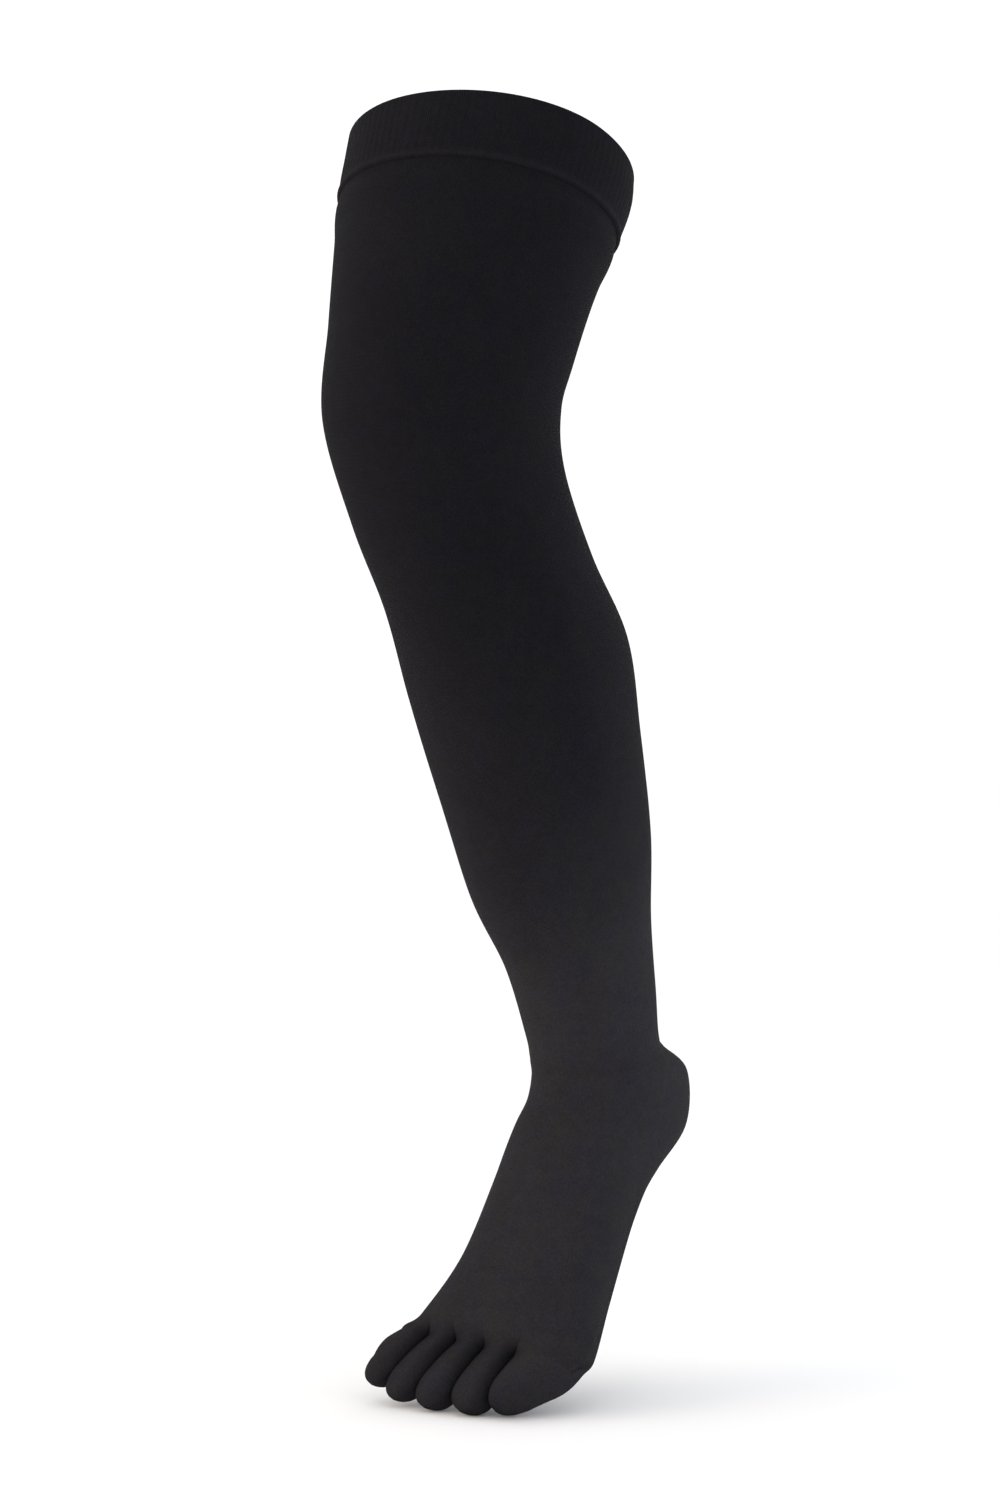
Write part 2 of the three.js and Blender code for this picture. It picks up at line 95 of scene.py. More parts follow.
@dataclass(frozen=True)
class Section:
    """One section across the sock; its lengths are shares of the breadth that `of` names."""

    on: Stretch
    along: float
    turn: float
    of: str
    front: float
    back: float
    medial: float
    lateral: float
    widest: float
    round: float


SECTIONS = (
    Section(Stretch.THIGH, 0.000, 0.00, "opening", 0.462, 0.564, 0.516, 0.501, 0.000, 2.0),
    Section(Stretch.THIGH, 0.085, 0.00, "opening", 0.463, 0.572, 0.517, 0.502, 0.000, 2.0),
    Section(Stretch.THIGH, 0.220, 0.00, "opening", 0.465, 0.540, 0.500, 0.500, 0.000, 2.0),
    Section(Stretch.THIGH, 0.480, 0.00, "opening", 0.460, 0.460, 0.465, 0.465, 0.000, 2.0),
    Section(Stretch.THIGH, 0.740, 0.00, "opening", 0.450, 0.420, 0.430, 0.430, 0.000, 2.0),
    Section(Stretch.THIGH, 1.000, 0.50, "knee", 0.510, 0.530, 0.490, 0.490, 0.000, 2.1),
    Section(Stretch.SHIN, 0.127, 0.00, "knee", 0.500, 0.440, 0.460, 0.460, 0.000, 2.1),
    Section(Stretch.SHIN, 0.276, 0.00, "calf", 0.450, 0.560, 0.480, 0.480, 0.000, 2.0),
    Section(Stretch.SHIN, 0.425, 0.00, "calf", 0.415, 0.690, 0.500, 0.500, 0.000, 2.0),
    Section(Stretch.SHIN, 0.573, 0.00, "calf", 0.420, 0.640, 0.465, 0.465, 0.000, 2.0),
    Section(Stretch.SHIN, 0.743, 0.00, "ankle", 0.820, 1.000, 0.680, 0.680, 0.100, 2.0),
    Section(Stretch.SHIN, 0.880, 0.00, "ankle", 0.660, 0.800, 0.560, 0.560, 0.050, 2.0),
    Section(Stretch.CREASE, 0.000, 0.00, "ankle", -0.757, 2.015, 0.524, 0.519, 1.388, 2.0),
    Section(Stretch.CREASE, 0.000, 0.20, "ankle", -0.775, 1.945, 0.562, 0.478, 1.400, 2.0),
    Section(Stretch.CREASE, 0.000, 0.27, "ankle", -0.782, 2.045, 0.566, 0.474, 1.440, 2.0),
    Section(Stretch.CREASE, 0.000, 0.40, "ankle", -0.795, 2.505, 0.573, 0.467, 1.620, 2.1),
    Section(Stretch.CREASE, 0.000, 0.60, "ankle", -0.820, 2.630, 0.578, 0.475, 1.730, 2.2),
    Section(Stretch.CREASE, 0.000, 0.80, "ankle", -0.842, 2.330, 0.585, 0.480, 1.600, 2.3),
    Section(Stretch.FOOT, 0.020, 1.00, "foot", 0.373, 0.441, 0.475, 0.321, 0.156, 2.3),
    Section(Stretch.FOOT, 0.210, 1.00, "foot", 0.341, 0.379, 0.493, 0.337, 0.154, 2.3),
    Section(Stretch.FOOT, 0.570, 1.00, "foot", 0.262, 0.344, 0.551, 0.390, 0.109, 2.3),
    Section(Stretch.FOOT, 0.880, 1.00, "foot", 0.182, 0.262, 0.622, 0.522, 0.048, 2.3),
    Section(Stretch.FOOT, 1.000, 1.00, "foot", 0.145, 0.170, 0.595, 0.574, 0.020, 2.3),
)
LAST = len(SECTIONS) - 1
ANKLE = next(i for i, section in enumerate(SECTIONS) if section.on is Stretch.CREASE)
SOLE = next(i for i, section in enumerate(SECTIONS) if section.on is Stretch.FOOT)
FOOT_SHARES = np.array([section.along if section.on is Stretch.FOOT else 0.0 for section in SECTIONS])


def turned_axes(pitch: float, yaw: float = 0.0, roll: float = 0.0) -> Array:
    """Gives a section's axes: side to the big toe, back to the calf or sole, down along the limb.

    Args:
        pitch: lean from straight down towards the back, in degrees.
        yaw: turn of the foot's direction towards the big-toe side, in degrees.
        roll: turn about the limb's own direction, in degrees.

    Returns:
        A 3 by 3 array whose rows are the three axes.
    """
    lean, swing, spin = np.radians([pitch, yaw, roll])
    side = np.array([1.0, 0.0, 0.0])
    back = np.array([0.0, math.cos(lean), math.sin(lean)])
    down = np.array([0.0, math.sin(lean), -math.cos(lean)])
    side, down = (math.cos(swing) * side - math.sin(swing) * down,
                  math.sin(swing) * side + math.cos(swing) * down)
    side, back = (math.cos(spin) * side + math.sin(spin) * back,
                  math.cos(spin) * back - math.sin(spin) * side)
    return np.array([side, back, down])


@dataclass(frozen=True)
class Limb:
    """The form that the sock keeps, as a function of a row position and an angle."""

    thigh_length: float = 144.2
    shin_length: float = 342.9
    crease_reach: float = 91.7
    foot_run: float = 114.9
    thigh_lean: float = 14.0
    shin_lean: float = 21.5
    foot_pitch: float = 34.5
    foot_yaw: float = 2.0
    foot_roll: float = 9.0
    opening_pitch: float = 3.6
    opening_roll: float = 4.0
    toe_line_slant: float = 3.0
    breadths: dict[str, float] = field(default_factory=lambda: {
        "opening": 150.0, "knee": 122.0, "calf": 116.0, "ankle": 66.0, "foot": 94.0})

    def place(self, section: Section) -> tuple[Array, Array]:
        """Finds a section's point on the bone line and its axes.

        Args:
            section: the section to place.

        Returns:
            The point and the 3 by 3 axes.
        """
        thigh, shin = turned_axes(-self.thigh_lean), turned_axes(self.shin_lean)
        knee = self.thigh_length * thigh[2]
        crease = knee + self.shin_length * shin[2] - self.crease_reach * shin[1]
        if section.on is Stretch.THIGH:
            tilt = 1 - float(smooth(section.along))
            pitch = blend(-self.thigh_lean, self.shin_lean, section.turn) - tilt * self.opening_pitch
            return section.along * knee, turned_axes(pitch, tilt * self.opening_roll)
        if section.on is Stretch.SHIN:
            return knee + section.along * self.shin_length * shin[2], shin
        pitch = blend(self.shin_lean, -self.foot_pitch, section.turn)
        axes = turned_axes(pitch, section.turn * self.foot_yaw, section.turn * self.foot_roll)
        if section.on is Stretch.CREASE:
            return crease, axes
        return crease + self.crease_reach * axes[1] + section.along * self.foot_run * axes[2], axes

    def outline(self, indices: Array, angles: Array) -> Array:
        """Gives points of the sections' outlines.

        Across = half breadth times cosine to the power 2/round, behind = widest line plus the depth
        times sine to the same power, both with the sign kept; 90 degrees is the front.

        Args:
            indices: one section number for each row.
            angles: rows by columns of angles.

        Returns:
            Rows by columns of points.
        """
        places = [self.place(section) for section in SECTIONS]
        bone = np.array([point for point, _ in places])[indices][:, None, :]
        axes = np.array([frame_axes for _, frame_axes in places])[indices]
        size = np.array([self.breadths[section.of] for section in SECTIONS])[indices][:, None]

        def column(name: str) -> Array:
            """Gives one named column of the table for the rows."""
            return np.array([getattr(section, name) for section in SECTIONS])[indices][:, None]

        cosine, sine, power = np.cos(angles), np.sin(angles), 2 / column("round")
        half = np.where(cosine > 0, column("medial"), column("lateral"))
        depth = np.where(sine > 0, -(column("front") + column("widest")),
                         column("back") - column("widest"))
        across = half * np.sign(cosine) * np.abs(cosine) ** power * size
        behind = (column("widest") + depth * np.abs(sine) ** power) * size
        reached = smooth(FOOT_SHARES[indices][:, None])
        slant = across * math.tan(math.radians(self.toe_line_slant)) * reached
        return (bone + across[..., None] * axes[:, None, 0] + behind[..., None] * axes[:, None, 1]
                + slant[..., None] * axes[:, None, 2])

    def surface(self, rows: Array, angles: Array) -> Array:
        """Gives points of the wall: a Catmull-Rom curve through the sections at each angle.

        Args:
            rows: row positions, counted in sections from the leg opening.
            angles: angles for each row and column.

        Returns:
            Rows by columns of points.
        """
        before = np.clip(np.floor(rows), 0, LAST - 1).astype(int)
        share = (rows - before)[:, None, None]

        def control(step: int) -> Array:
            """Gives the section `step` places on; past an end it mirrors the one inside."""
            wanted = before + step
            inside = np.clip(wanted, 0, LAST)
            return 2 * self.outline(inside, angles) - self.outline(2 * inside - wanted, angles)

        p0, p1, p2, p3 = (control(step) for step in (-1, 0, 1, 2))
        return 0.5 * (2 * p1 + (p2 - p0) * share + (2 * p0 - 5 * p1 + 4 * p2 - p3) * share**2
                      + (3 * p1 - p0 - 3 * p2 + p3) * share**3)

    def thigh_row(self, lengths: Array) -> Array:
        """Turns lengths down the thigh into row positions."""
        thigh = [i for i, section in enumerate(SECTIONS) if section.on is Stretch.THIGH]
        along = np.array([SECTIONS[i].along for i in thigh]) * self.thigh_length
        first_step = (along[1] - along[0]) / (thigh[1] - thigh[0])
        return np.where(lengths < 0, lengths / first_step, np.interp(lengths, along, thigh))

    def foot_share(self, rows: Array) -> Array:
        """Tells how far along the foot row positions are, from 0 before it to 1 at the toe line."""
        return np.interp(rows, np.arange(len(SECTIONS)), FOOT_SHARES)

    def run_down(self, rows: Array) -> Array:
        """Gives the mean length down the wall at row positions: the sum of the steps between rows."""
        fine = np.linspace(0, LAST, 400)
        angles = np.tile(np.linspace(0, FULL_TURN, 24, endpoint=False), (fine.size, 1))
        points = self.surface(fine, angles)
        steps = np.linalg.norm(np.diff(points, axis=0), axis=-1).mean(axis=1)
        return np.interp(rows, fine, np.concatenate([[0.0], np.cumsum(steps)]))


def outward(points: Array, ends: bool = True) -> Array:
    """Gives each point's outward direction: the step round the wall crossed with the step down it.

    Args:
        points: rows by columns of points, the columns going once round.
        ends: whether the first and last rows keep to their own plane.

    Returns:
        Rows by columns of unit vectors.
    """
    step_round = np.roll(points, -1, axis=1) - np.roll(points, 1, axis=1)
    step_down = np.gradient(points, axis=0)
    normals = unit(np.cross(step_round, step_down))
    for row in (0, -1) if ends else ():
        arm = points[row] - points[row].mean(axis=0)
        facing = unit(np.cross(np.roll(arm, -1, axis=0), arm).sum(axis=0))
        normals[row] = unit(normals[row] - (normals[row] @ facing)[:, None] * facing)
    return normals


@dataclass(frozen=True)
class Toe:
    """One toe pocket; its lengths are shares of the forefoot's breadth and of the toe sizes."""

    breadth: float
    reach: float
    crown: float
    pad: float
    splay: float


@dataclass(frozen=True)
class ToeRow:
    """The five pockets and the line where they leave the foot."""

    limb: Limb
    toes: tuple[Toe, ...] = (
        Toe(0.333, 0.80, 1.00, 1.00, 0.14),
        Toe(0.177, 0.94, 0.79, 0.73, 0.22),
        Toe(0.165, 1.01, 0.75, 0.73, 0.32),
        Toe(0.162, 1.01, 0.72, 0.70, 0.36),
        Toe(0.163, 0.88, 0.68, 0.70, 0.34),
    )
    length: float = 38.5
    crown: float = 14.0
    pad: float = 13.0
    web: float = 9.0
    groove_run: float = 14.0
    lift: float = 20.0
    curl: float = 4.0
    lift_run: float = 16.0
    tip_share: float = 0.4
    tip_round: float = 2.4
    big_toe_taper: float = 0.95
    ball_round: float = 8.0
    bulge: float = 2.6
    gap: float = 0.3
    crease_reach: float = 6.0
    crown_steps: int = 20
    pad_steps: int = 12
    side_steps: int = 4

    def borders(self) -> Array:
        """Gives the borders between the pockets at the toe line, from the big-toe side."""
        line = SECTIONS[LAST]
        breadth = self.limb.breadths[line.of]
        shares = np.concatenate([[0.0], np.cumsum([toe.breadth for toe in self.toes])])
        return breadth * (line.medial - (line.medial + line.lateral) * shares)

    def arch(self, height: float, start: float, end: float, steps: int) -> tuple[Array, Array]:
        """Gives half an oval from one border to the next, standing on the upright web.

        Args:
            height: how far the arch reaches from the toe's middle.
            start: the border where it begins.
            end: the border where it ends; its own point is left out.
            steps: the number of points.

        Returns:
            Places across and heights of the points.
        """
        angle = math.pi * np.arange(steps) / steps
        across = (start + end) / 2 + (start - end) / 2 * np.cos(angle)
        return across, self.web / 2 + (height - self.web / 2) * np.sin(angle)

    def free_side(self, ahead: Array) -> Array:
        """Gives how far the big toe's free side has come in: an arc round the ball, then straight."""
        rise = np.clip(ahead + self.ball_round, 0, 2 * self.ball_round)
        arc = rise ** 2 / (4 * self.ball_round)
        return self.big_toe_taper * (arc + np.maximum(ahead - self.ball_round, 0))

    def grooves(self, ahead: Array) -> Array:
        """Gives the toe line's outline carried along the toes' path, drawn in round the ball.

        Args:
            ahead: lengths beyond the toe line, one for each row.

        Returns:
            Rows by columns of points.
        """
        across, below = self.line_outline()
        borders = self.borders()
        share = np.maximum(across - borders[1], 0) / (borders[0] - borders[1])
        drawn = across - share * self.free_side(ahead)[:, None]
        return self.place(ahead, drawn, np.tile(below, (ahead.size, 1)))

    def shade(self, distance: Array) -> Array:
        """Gives the painted shade of a crease, with the looser knit there: 1 beside it, then less as a
        bell curve.
        """
        return np.exp(-(distance / self.crease_reach) ** 2)

    def line_shade(self) -> Array:
        """Gives the creases' painted shade at each point of the toe line."""
        across, _ = self.line_outline()
        creases = self.borders()[1:-1]
        return self.shade(np.abs(across[:, None] - creases).min(axis=1))

    def pocket_shade(self, index: int, half: Array) -> Array:
        """Gives the creases' painted shade round a pocket, on the sides that face another toe.

        Args:
            index: the toe's number, from 0 at the big toe.
            half: half the pocket's breadth at each row.

        Returns:
            Rows by columns of darkness.
        """
        across, _ = self.pocket_outline(self.toes[index], 1.0, -1.0)
        medial = self.shade(half[:, None] * (1 - across)) * (index > 0)
        lateral = self.shade(half[:, None] * (1 + across)) * (index < len(self.toes) - 1)
        return np.maximum(medial, lateral)

    def upright(self, across: float, sign: int) -> tuple[Array, Array]:
        """Gives the points down (sign 1) or up (sign -1) the web at one border."""
        share = np.arange(self.side_steps) / self.side_steps
        return np.full(self.side_steps, across), sign * self.web * (share - 0.5)

    def pocket_outline(self, toe: Toe, start: float, end: float) -> tuple[Array, Array]:
        """Gives one pocket's whole outline: crown, web, pad, web."""
        crown = self.arch(toe.crown * self.crown, start, end, self.crown_steps)
        pad = self.arch(toe.pad * self.pad, end, start, self.pad_steps)
        parts = [(crown[0], -crown[1]), self.upright(end, 1), pad, self.upright(start, -1)]
        return joined(parts)

    def line_outline(self) -> tuple[Array, Array]:
        """Gives the toe line: every crown, the little toe's side, every pad and the big toe's side."""
        borders = self.borders()
        spans = list(zip(self.toes, borders[:-1], borders[1:]))
        crowns = [self.arch(toe.crown * self.crown, start, end, self.crown_steps)
                  for toe, start, end in spans]
        pads = [self.arch(toe.pad * self.pad, end, start, self.pad_steps)
                for toe, start, end in spans[::-1]]
        parts = [*[(across, -height) for across, height in crowns], self.upright(borders[-1], 1),
                 *pads, self.upright(borders[0], -1)]
        return joined(parts)

    def place(self, ahead: Array, across: Array, below: Array) -> Array:
        """Puts points beyond the toe line on a path that lifts on one arc and curls down on another.

        Args:
            ahead: lengths beyond the toe line, one for each row.
            across: places to the big-toe side, rows by columns.
            below: heights towards the sole, rows by columns.

        Returns:
            Rows by columns of points.
        """
        root, (side, back, down) = self.limb.place(SECTIONS[LAST])
        half = self.lift_run / 2
        lift_rate = math.radians(self.lift) / self.lift_run
        curl_rate = math.radians(self.lift + self.curl) / (self.length - half)
        lifted = lift_rate * np.clip(ahead + half, 0, self.lift_run)
        angle = lifted - curl_rate * np.maximum(ahead - half, 0)
        forward = (np.minimum(ahead, -half) + np.sin(lifted) / lift_rate
                   + (np.sin(lifted) - np.sin(angle)) / curl_rate)
        rise = (1 - np.cos(lifted)) / lift_rate + (np.cos(angle) - np.cos(lifted)) / curl_rate
        slant = across * math.tan(math.radians(self.limb.toe_line_slant))
        along = slant + forward[:, None] + below * np.sin(angle)[:, None]
        depth = below * np.cos(angle)[:, None] - rise[:, None]
        return root + across[..., None] * side + along[..., None] * down + depth[..., None] * back

    def pocket(self, index: int, rows: int, tip_rows: int) -> tuple[Array, Array, Array]:
        """Gives one pocket's wall: a straight tube, then a blunt dome.

        Over the dome the length ahead grows as a sine and the outline shrinks as a cosine, both to
        the power 2/tip_round. One row lies before the toe line, for the shading only.

        Args:
            index: the toe's number, from 0 at the big toe.
            rows: rows along the straight part.
            tip_rows: rows over the dome.

        Returns:
            Rows by columns of points, each row's length beyond the toe line and half its breadth.
        """
        toe = self.toes[index]
        length = toe.reach * self.length
        straight = length * (1 - self.tip_share)
        dome = QUARTER_TURN * np.arange(1, tip_rows + 1) / (tip_rows + 0.1)
        tip = straight + (length - straight) * np.sin(dome) ** (2 / self.tip_round)
        step = straight / rows
        ahead = np.concatenate([np.linspace(-step, straight, rows + 2), tip])
        size = np.concatenate([np.ones(rows + 2), np.cos(dome) ** (2 / self.tip_round)])[:, None]
        bulge = self.bulge * np.sin(np.pi * np.minimum(ahead / straight, 1))
        borders = self.borders()
        is_last = index == len(self.toes) - 1
        drawn = (self.free_side(ahead) if index == 0
                 else self.toes[index - 1].splay * ahead + self.gap / 2)
        start = borders[index] - drawn
        end = borders[index + 1] - toe.splay * ahead + (-bulge if is_last else self.gap / 2)
        unit_across, below = self.pocket_outline(toe, 1.0, -1.0)
        middle, half = (start + end)[:, None] / 2, (start - end)[:, None] / 2
        return self.place(ahead, middle + half * unit_across * size, below * size), ahead, half[:, 0]


@dataclass(frozen=True)
class Foot:
    """The wall from the ankle to the toe line, with the heel pocket set into its back."""

    limb: Limb
    toe_row: ToeRow
    heel_rows: int = 56
    sole_rows: int = 70
    groove_rows: int = 34
    edge_share: float = 0.985

    def rows(self) -> Array:
        """Gives the row positions: round the heel, along the sole and over the toes' grooves."""
        return np.concatenate([
            np.linspace(ANKLE, SOLE, self.heel_rows + 1),
            np.linspace(SOLE, LAST - 1, self.sole_rows + 1)[1:],
            np.linspace(LAST - 1, LAST, self.groove_rows + 1)[1:]])

    def little_toe_corner(self) -> int:
        """Gives the column at the little toe's side of the toe line."""
        return len(self.toe_row.toes) * self.toe_row.crown_steps

    def level_angles(self, columns: int) -> Array:
        """Gives evenly spaced angles, one for each column, with the crowns' middle at the front."""
        steps = np.arange(columns) - self.little_toe_corner() / 2
        return QUARTER_TURN + FULL_TURN * steps / columns

    def angles(self, rows: Array) -> Array:
        """Gives the columns' angles: evenly spaced at the ankle, in line with the toes at their line."""
        across, _ = self.toe_row.line_outline()
        borders = self.toe_row.borders()
        edge = np.where(across > 0, borders[0], -borders[-1])
        facing = np.arccos(self.edge_share * across / edge)
        crowns = np.arange(across.size) <= self.little_toe_corner()
        in_line = np.where(crowns, facing, FULL_TURN - facing)
        share = self.limb.foot_share(rows)[:, None]
        return blend(self.level_angles(across.size), in_line, smooth(share))

    def wall(self, rows: Array) -> Array:
        """Gives the wall's points: the limb's surface, handed over to the toe line's outline.

        Args:
            rows: row positions.

        Returns:
            Rows by columns of points.
        """
        skin = self.limb.surface(rows, self.angles(rows))
        ahead = (self.limb.foot_share(rows) - 1) * self.limb.foot_run
        taken_over = smooth(1 + ahead / self.toe_row.groove_run)[:, None, None]
        return blend(skin, self.toe_row.grooves(ahead), taken_over)


def knitted_piece(name: str, points: Array, corners: Array, starts: Array, is_smooth: Array,
                  stitches: Array, tones: Array) -> bpy.types.Object:
    """Makes a mesh object with its stitches as UVs and its tone as an attribute.

    Args:
        name: the piece's name.
        points: the points, in millimetres.
        corners: the point at each corner of the faces.
        starts: the first corner of each face.
        is_smooth: whether each face is smooth.
        stitches: the wale and the course at each corner.
        tones: the tone at each point.

    Returns:
        The object, linked to the scene.
    """
    mesh = bpy.data.meshes.new(name)
    mesh.vertices.add(len(points))
    mesh.loops.add(corners.size)
    mesh.polygons.add(starts.size)
    mesh.vertices.foreach_set("co", (points * MILLIMETRE).astype(np.float32).ravel())
    mesh.loops.foreach_set("vertex_index", corners.astype(np.int32).ravel())
    mesh.polygons.foreach_set("loop_start", starts.astype(np.int32))
    mesh.polygons.foreach_set("use_smooth", is_smooth)
    mesh.update(calc_edges=True)
    mesh.uv_layers.new(name=UV_NAME).data.foreach_set("uv", stitches.astype(np.float32).ravel())
    tone = mesh.attributes.new(TONE_NAME, "FLOAT", "POINT")
    tone.data.foreach_set("value", tones.astype(np.float32).ravel())
    mesh.validate()
    piece = bpy.data.objects.new(name, mesh)
    bpy.context.scene.collection.objects.link(piece)
    return piece


@dataclass
class Wall:
    """A knitted wall on a grid: an outer and an inner surface with a strip round each open edge.

    Its shading directions come from the whole sock's form, so that no edge shows between pieces.
    """

    name: str
    outer: Array
    inner: Array
    wales: Array
    courses: Array
    tone: Array
    shading: Array
    cells: Array | None = None
    closed_tip: bool = False

    def corners(self) -> tuple[list[Array], Array]:
        """Lists the faces' corners as surface (0 outer, 1 inner), row and column.

        Returns:
            Arrays of faces by 4 corners by 3 numbers, and which of the faces are smooth.
        """
        rows, columns = self.outer.shape[:2]
        cells = np.ones((rows - 1, columns), bool) if self.cells is None else self.cells
        framed = np.pad(cells, ((1, 1), (0, 0)))
        row, column = np.nonzero(cells)

        def face(kept: Array, *steps: tuple[int, int, int]) -> Array:
            """Makes one face for each kept cell from its corners' surface, row and column steps."""
            r, c = row[kept], column[kept]
            return np.stack([np.stack([np.full(r.size, s), r + down, c + right], -1)
                             for s, down, right in steps], 1)

        def strip(kept: Array, first: tuple[int, int], second: tuple[int, int]) -> Array:
            """Makes one closing face along an edge between the outer and inner surface."""
            return face(kept, (0, *second), (0, *first), (1, *first), (1, *second))

        every = np.ones(row.size, bool)
        above = framed[row, column]
        below = framed[row + 2, column] | (self.closed_tip & (row == rows - 2))
        right = cells[row, (column + 1) % columns]
        left = cells[row, column - 1]
        walls = [face(every, (0, 0, 0), (0, 0, 1), (0, 1, 1), (0, 1, 0)),
                 face(every, (1, 0, 0), (1, 1, 0), (1, 1, 1), (1, 0, 1))]
        strips = [strip(~above, (0, 0), (0, 1)), strip(~right, (0, 1), (1, 1)),
                  strip(~below, (1, 1), (1, 0)), strip(~left, (1, 0), (0, 0))]
        kinds = np.concatenate([np.full(len(faces), kind) for kind, group in
                                ((True, walls), (False, strips)) for faces in group])
        return [*walls, *strips], kinds

    def make(self) -> bpy.types.Object:
        """Puts the wall into a mesh object; a closed tip gets one cap on each surface.

        Returns:
            The object.
        """
        rows, columns = self.outer.shape[:2]
        groups, is_smooth = self.corners()
        corners = np.concatenate(groups)
        surface, row, column = corners.reshape(-1, 3).T
        starts = np.arange(len(corners)) * 4
        if self.closed_tip:
            ring = np.arange(columns)
            caps = [(0, ring), (1, ring[::-1])]
            surface = np.concatenate([surface, *[np.full(columns, side) for side, _ in caps]])
            row = np.concatenate([row, np.full(2 * columns, rows - 1)])
            column = np.concatenate([column, *[order for _, order in caps]])
            starts = np.concatenate([starts, len(corners) * 4 + np.array([0, columns])])
            is_smooth = np.concatenate([is_smooth, [True, True]])
        used, index = np.unique((surface * rows + row) * columns + column % columns, return_inverse=True)
        points = np.concatenate([self.outer.reshape(-1, 3), self.inner.reshape(-1, 3)])[used]
        tones = np.broadcast_to(self.tone, (rows, columns)).reshape(-1)
        stitches = np.stack([self.wales[row, column], self.courses[row]], -1)
        piece = knitted_piece(self.name, points, index, starts, is_smooth, stitches,
                              np.concatenate([tones, tones])[used])
        facing = np.concatenate([self.shading.reshape(-1, 3), -self.shading.reshape(-1, 3)])[used]
        piece.data.normals_split_custom_set_from_vertices(facing)
        return piece


class Value:
    """A number at a socket of a shader; sums on it add the Math nodes that work them out."""

    def __init__(self, graph: "Graph", socket: bpy.types.NodeSocket) -> None:
        """Wraps a socket of a graph."""
        self.graph = graph
        self.socket = socket

    def sum_with(self, operation: str, *others: "Value | float") -> "Value":
        """Adds one Math node on this value and the others."""
        operands = [self, *others]
        return self.graph.value("ShaderNodeMath", {"operation": operation}, dict(enumerate(operands)))

    def __add__(self, other: "Value | float") -> "Value":
        """Adds."""
        return self.sum_with("ADD", other)

    __radd__ = __add__

    def __mul__(self, other: "Value | float") -> "Value":
        """Multiplies."""
        return self.sum_with("MULTIPLY", other)

    __rmul__ = __mul__

    def __sub__(self, other: "Value | float") -> "Value":
        """Takes the other from this."""
        return self.sum_with("SUBTRACT", other)

    def __rsub__(self, other: float) -> "Value":
        """Takes this from a number."""
        return self.sum_with("MULTIPLY_ADD", -1.0, other)

    def fraction(self) -> "Value":
        """Keeps what follows the whole number."""
        return self.sum_with("FRACT")

    def size(self) -> "Value":
        """Drops the sign."""
        return self.sum_with("ABSOLUTE")

    def cosine(self) -> "Value":
        """Takes the cosine of an angle in radians."""
        return self.sum_with("COSINE")


class Graph:
    """The node tree of one material."""

    def __init__(self, name: str) -> None:
        """Makes a material with an empty node tree."""
        self.material = bpy.data.materials.new(name)
        self.material.use_nodes = True
        self.tree = self.material.node_tree
        self.tree.nodes.clear()

    def node(self, kind: str, settings: dict[str, Any] | None = None,
             inputs: dict[str | int, Any] | None = None) -> bpy.types.Node:
        """Adds a node.

        Args:
            kind: the node's type.
            settings: properties that are set first.
            inputs: a value, or a socket to link, for each input's name or number.

        Returns:
            The node.
        """
        made = self.tree.nodes.new(kind)
        for name, setting in (settings or {}).items():
            setattr(made, name, setting)
        for key, given in (inputs or {}).items():
            socket = given.socket if isinstance(given, Value) else given
            if isinstance(socket, bpy.types.NodeSocket):
                self.tree.links.new(socket, made.inputs[key])
            else:
                made.inputs[key].default_value = socket
        return made

    def value(self, kind: str, settings: dict[str, Any] | None = None,
              inputs: dict[str | int, Any] | None = None, output: str | int = 0) -> Value:
        """Adds a node and gives one of its outputs as a number."""
        return Value(self, self.node(kind, settings, inputs).outputs[output])

    def mix(self, share: Value | float, first: Any, second: Any,
            kind: str = "MIX") -> bpy.types.NodeSocket:
        """Mixes two colours.

        Args:
            share: how much of the second is taken.
            first: the first colour.
            second: the second colour.
            kind: how the two are joined.

        Returns:
            The result's socket.
        """
        made = self.node("ShaderNodeMix", {"data_type": "RGBA", "blend_type": kind},
                         {0: share, 6: first, 7: second})
        return made.outputs[2]

    def grain(self, scale: float, detail: float = 2.0) -> Value:
        """Gives noise on the piece's own coordinates, about 0 to 1.

        Args:
            scale: how many grains lie on a metre.
            detail: how many finer octaves are added.

        Returns:
            The noise.
        """
        place = self.node("ShaderNodeTexCoord").outputs["Object"]
        return self.value("ShaderNodeTexNoise", {"noise_dimensions": "3D"},
                          {"Vector": place, "Scale": scale, "Detail": detail})


